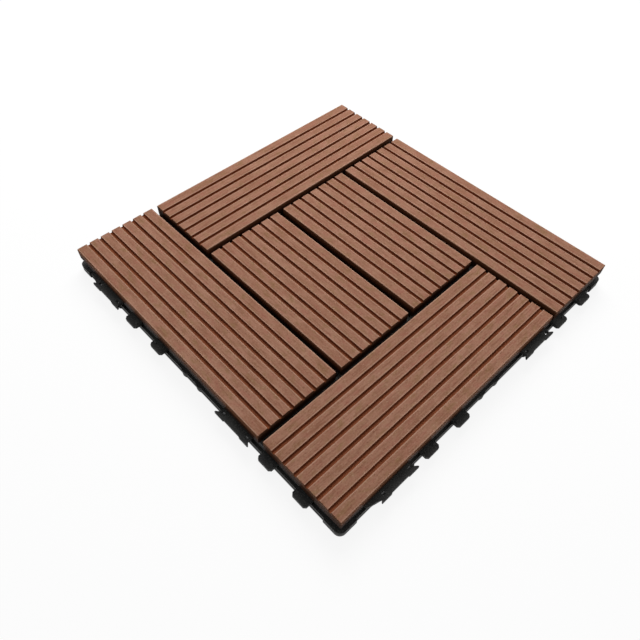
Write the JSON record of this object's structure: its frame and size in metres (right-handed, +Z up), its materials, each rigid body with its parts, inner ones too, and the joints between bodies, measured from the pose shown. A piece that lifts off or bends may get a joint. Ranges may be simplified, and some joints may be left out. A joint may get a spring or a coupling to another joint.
{
  "type": "deck tile",
  "caption": "Square click-together deck tile: grooved composite slats laid in a pinwheel on a black moulded grid with snap tabs on every edge.",
  "frame": {"origin": "middle of the tile at the level of the floor it stands on", "axes": "+Z up out of the walking surface, +X along the front slat, +Y from the front edge to the back edge"},
  "size_m": [0.3132, 0.3132, 0.022],
  "materials": {
    "grid_plastic": "satin",
    "slat_composite": "brushed matt",
    "screw_steel": "zinc plated"
  },
  "bodies": {
    "root": {"base_grid": "grid_plastic", "front_slat": "slat_composite", "right_slat": "slat_composite", "back_slat": "slat_composite", "left_slat": "slat_composite", "front_centre_slat": "slat_composite", "back_centre_slat": "slat_composite", "slat_screws": "screw_steel"}
  },
  "joints": []
}
